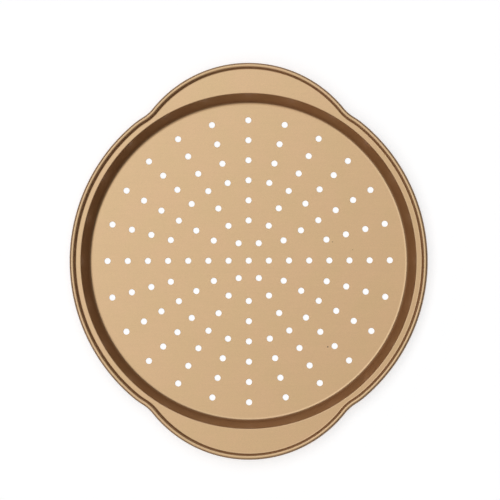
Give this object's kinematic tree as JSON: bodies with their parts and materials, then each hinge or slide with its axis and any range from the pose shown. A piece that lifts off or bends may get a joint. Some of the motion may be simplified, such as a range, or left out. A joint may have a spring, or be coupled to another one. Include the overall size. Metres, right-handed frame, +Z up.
{
  "type": "perforated pizza pan",
  "caption": "Round shallow pizza pan with a perforated floor, sloping wall, flat flange, two handle wings and an edge rolled around a wire, in champagne-gold non-stick coating.",
  "frame": {"origin": "middle of the underside of the floor, on the axis of the round dish", "axes": "+Z up out of the dish, +Y along the pan towards one handle wing, +X across it"},
  "size_m": [0.3344, 0.3708, 0.018],
  "materials": {
    "pan_coating": "satin champagne-gold non-stick coating on pressed carbon steel",
    "wire_steel": "plain drawn steel wire"
  },
  "bodies": {
    "root": {"pan_body": "pan_coating", "rim_wire": "wire_steel"}
  },
  "joints": []
}
